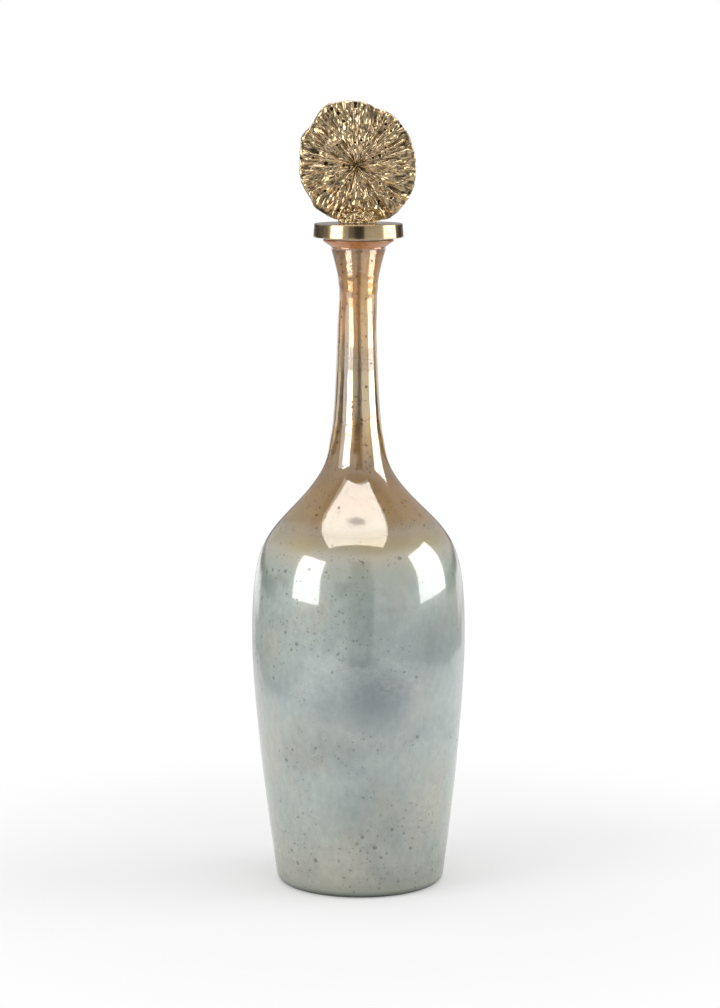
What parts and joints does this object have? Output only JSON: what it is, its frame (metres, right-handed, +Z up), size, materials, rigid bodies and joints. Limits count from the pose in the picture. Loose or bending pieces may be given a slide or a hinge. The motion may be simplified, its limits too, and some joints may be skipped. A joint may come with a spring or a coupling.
{
  "type": "stoppered display bottle",
  "caption": "Tall long-necked display bottle in luster glass with a lift-out corked brass stopper that carries a cast coral disc.",
  "frame": {"origin": "middle of the ring that the bottle stands on, on the bottle's axis", "axes": "+Z up along the bottle's axis, -Y towards the side that the coral disc faces"},
  "size_m": [0.1388, 0.1388, 0.5082],
  "materials": {
    "luster_glass": "glossy luster, gold on the neck and blue-grey below",
    "clear_seal": "satin, pale",
    "brushed_brass": "brushed",
    "cast_brass": "cast, antiqued",
    "cork": "natural cork",
    "screw_steel": "plated"
  },
  "bodies": {
    "bottle": {"glass_bottle": "luster_glass"},
    "seal": {"lip_gasket": "clear_seal"},
    "stopper": {"stopper_collar": "brushed_brass", "coral_medallion": "cast_brass", "stopper_cork": "cork", "stopper_screw": "screw_steel", "screw_washer": "screw_steel"}
  },
  "joints": [
    {"name": "stopper_lift", "type": "slide", "parent": "bottle", "child": "seal", "axis": [0, 0, 1], "range_m": [0, 0.08]},
    {"name": "stopper_turn", "type": "hinge", "parent": "seal", "child": "stopper", "pos_m": [0, 0, 0.4202], "axis": [0, 0, 1], "continuous": true}
  ]
}
